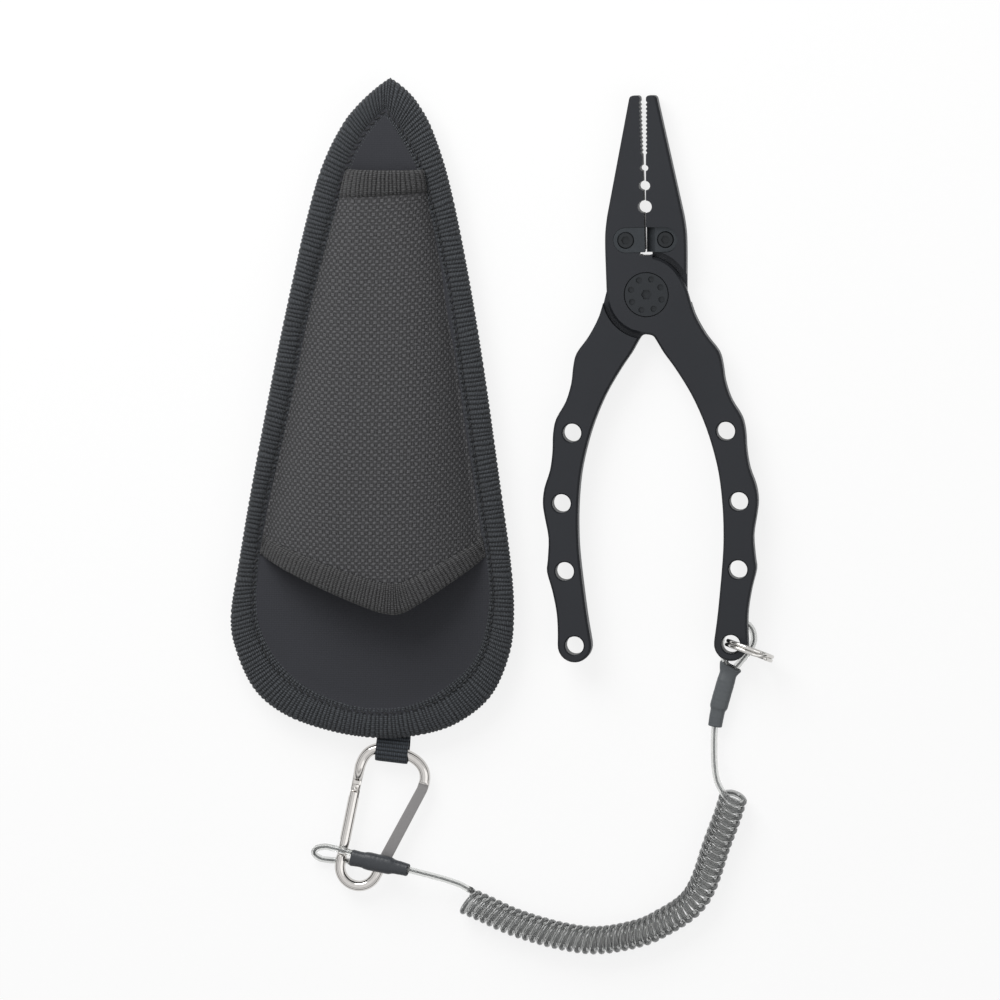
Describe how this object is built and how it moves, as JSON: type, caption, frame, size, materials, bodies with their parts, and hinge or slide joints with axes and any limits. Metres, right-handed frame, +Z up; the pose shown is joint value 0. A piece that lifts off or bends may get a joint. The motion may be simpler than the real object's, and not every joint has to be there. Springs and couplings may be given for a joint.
{
  "type": "fishing pliers",
  "caption": "Long-nosed fishing pliers with side cutters, crimping notches and scalloped drilled handles, on a coiled wire lanyard clipped by a snap hook to a padded belt sheath.",
  "frame": {"origin": "on the table under the middle of the box round the pliers, sheath, ring and hook, without the lanyard", "axes": "+Z up from the table, +Y towards the jaw tips and the sheath's point, +X from the sheath to the pliers"},
  "size_m": [0.1778, 0.2867, 0.0267],
  "materials": {
    "plier_black": "matte black anodised",
    "pivot_black": "satin black anodised",
    "washer_bronze": "plain",
    "blade_steel": "dark ground",
    "screw_black": "blackened",
    "nickel": "bright nickel",
    "hook_metal": "polished",
    "gate_metal": "polished",
    "pin_steel": "plain",
    "spring_steel": "plain",
    "clear_jacket": "clear jacket over a grey wire",
    "coil_jacket": "clear jacket over a grey wire",
    "sleeve_grey": "satin shrink tube",
    "sleeve_black": "satin shrink tube",
    "ferrule_metal": "pressed",
    "panel_cloth": "smooth padded cloth",
    "tape_web": "ribbed woven tape",
    "pocket_weave": "basket weave nylon",
    "webbing": "woven webbing"
  },
  "bodies": {
    "root": {"lever_back": "plier_black", "pivot_nut": "pivot_black", "pivot_bolt": "pivot_black", "pivot_washer": "washer_bronze", "cutter_back": "blade_steel", "cutter_screw_back": "screw_black", "hook_body": "hook_metal", "gate_pin": "pin_steel", "sheath_panel": "panel_cloth", "edge_tape": "tape_web", "pocket": "pocket_weave", "pocket_top_tape": "tape_web", "pocket_mouth_tape": "tape_web", "web_loop": "webbing", "belt_loop": "webbing", "lead_upper": "clear_jacket", "coil": "coil_jacket", "lead_lower": "clear_jacket", "sleeve_lower": "sleeve_black", "ferrule_lower": "ferrule_metal", "eye_lower": "clear_jacket"},
    "front_half": {"lever_front": "plier_black", "cutter_front": "blade_steel", "cutter_screw_front": "screw_black", "eye_upper": "clear_jacket", "sleeve_upper": "sleeve_grey", "ferrule_upper": "ferrule_metal"},
    "ring": {"split_ring": "nickel"},
    "gate": {"hook_gate": "gate_metal", "gate_plunger": "spring_steel", "gate_spring": "spring_steel"}
  },
  "joints": [
    {"name": "pliers_pivot", "type": "hinge", "parent": "root", "child": "front_half", "pos_m": [0.0471, 0.06314, 0.00546], "axis": [-0.0006, 0.0258, 0.9997], "range_deg": [-1.16, 33], "deforming": ["lead_upper", "coil"]},
    {"name": "ring_turn", "type": "hinge", "parent": "front_half", "child": "ring", "pos_m": [0.08092, -0.05218, 0.009], "axis": [-0.3342, -0.9334, 0.1305], "continuous": true},
    {"name": "gate_hinge", "type": "hinge", "parent": "root", "child": "gate", "pos_m": [-0.05247, -0.11926, 0.00435], "axis": [0, 0, -1], "range_deg": [0, 25], "stiffness_Nm_per_rad": 0.02, "springref_deg": -20.05}
  ]
}
